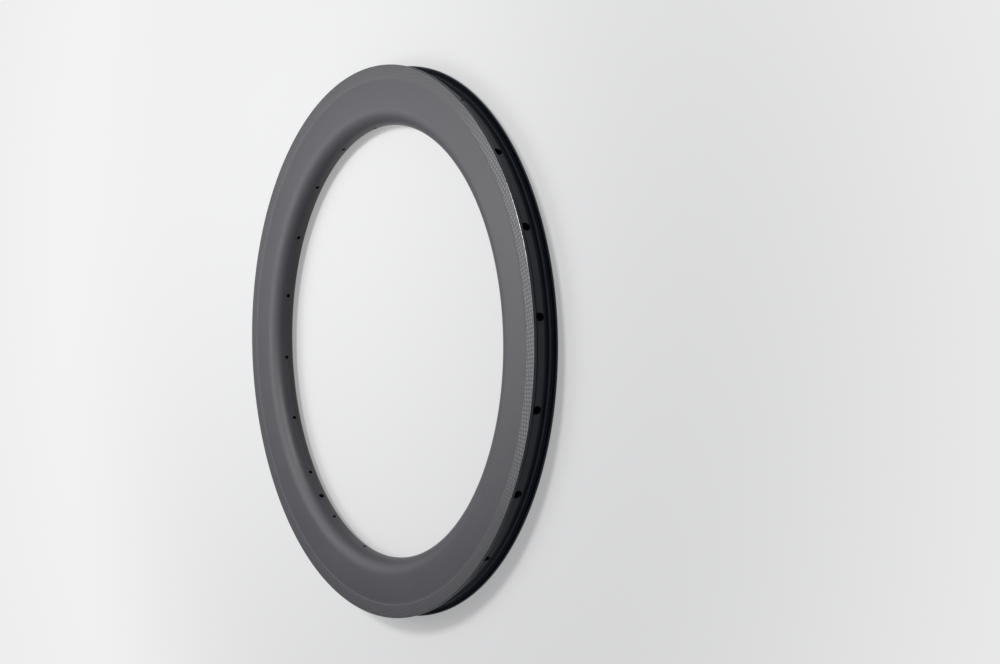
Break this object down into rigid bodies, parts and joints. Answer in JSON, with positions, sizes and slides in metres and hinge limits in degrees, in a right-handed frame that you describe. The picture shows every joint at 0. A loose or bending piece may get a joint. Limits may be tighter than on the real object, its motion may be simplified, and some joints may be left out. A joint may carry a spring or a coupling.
{
  "type": "bicycle rim",
  "caption": "Deep-section carbon clincher wheel rim: a hollow ring with hooked tyre flanges, drop-centre tyre bed, spoke holes and a valve hole.",
  "frame": {"origin": "centre of the wheel, midway between the flanges", "axes": "+Z along the wheel axis, +X through the valve hole; the rim lies flat on its side"},
  "size_m": [0.633, 0.6329, 0.0316],
  "materials": {
    "carbon": "matte carbon laminate"
  },
  "bodies": {
    "root": {"rim": "carbon"}
  },
  "joints": []
}
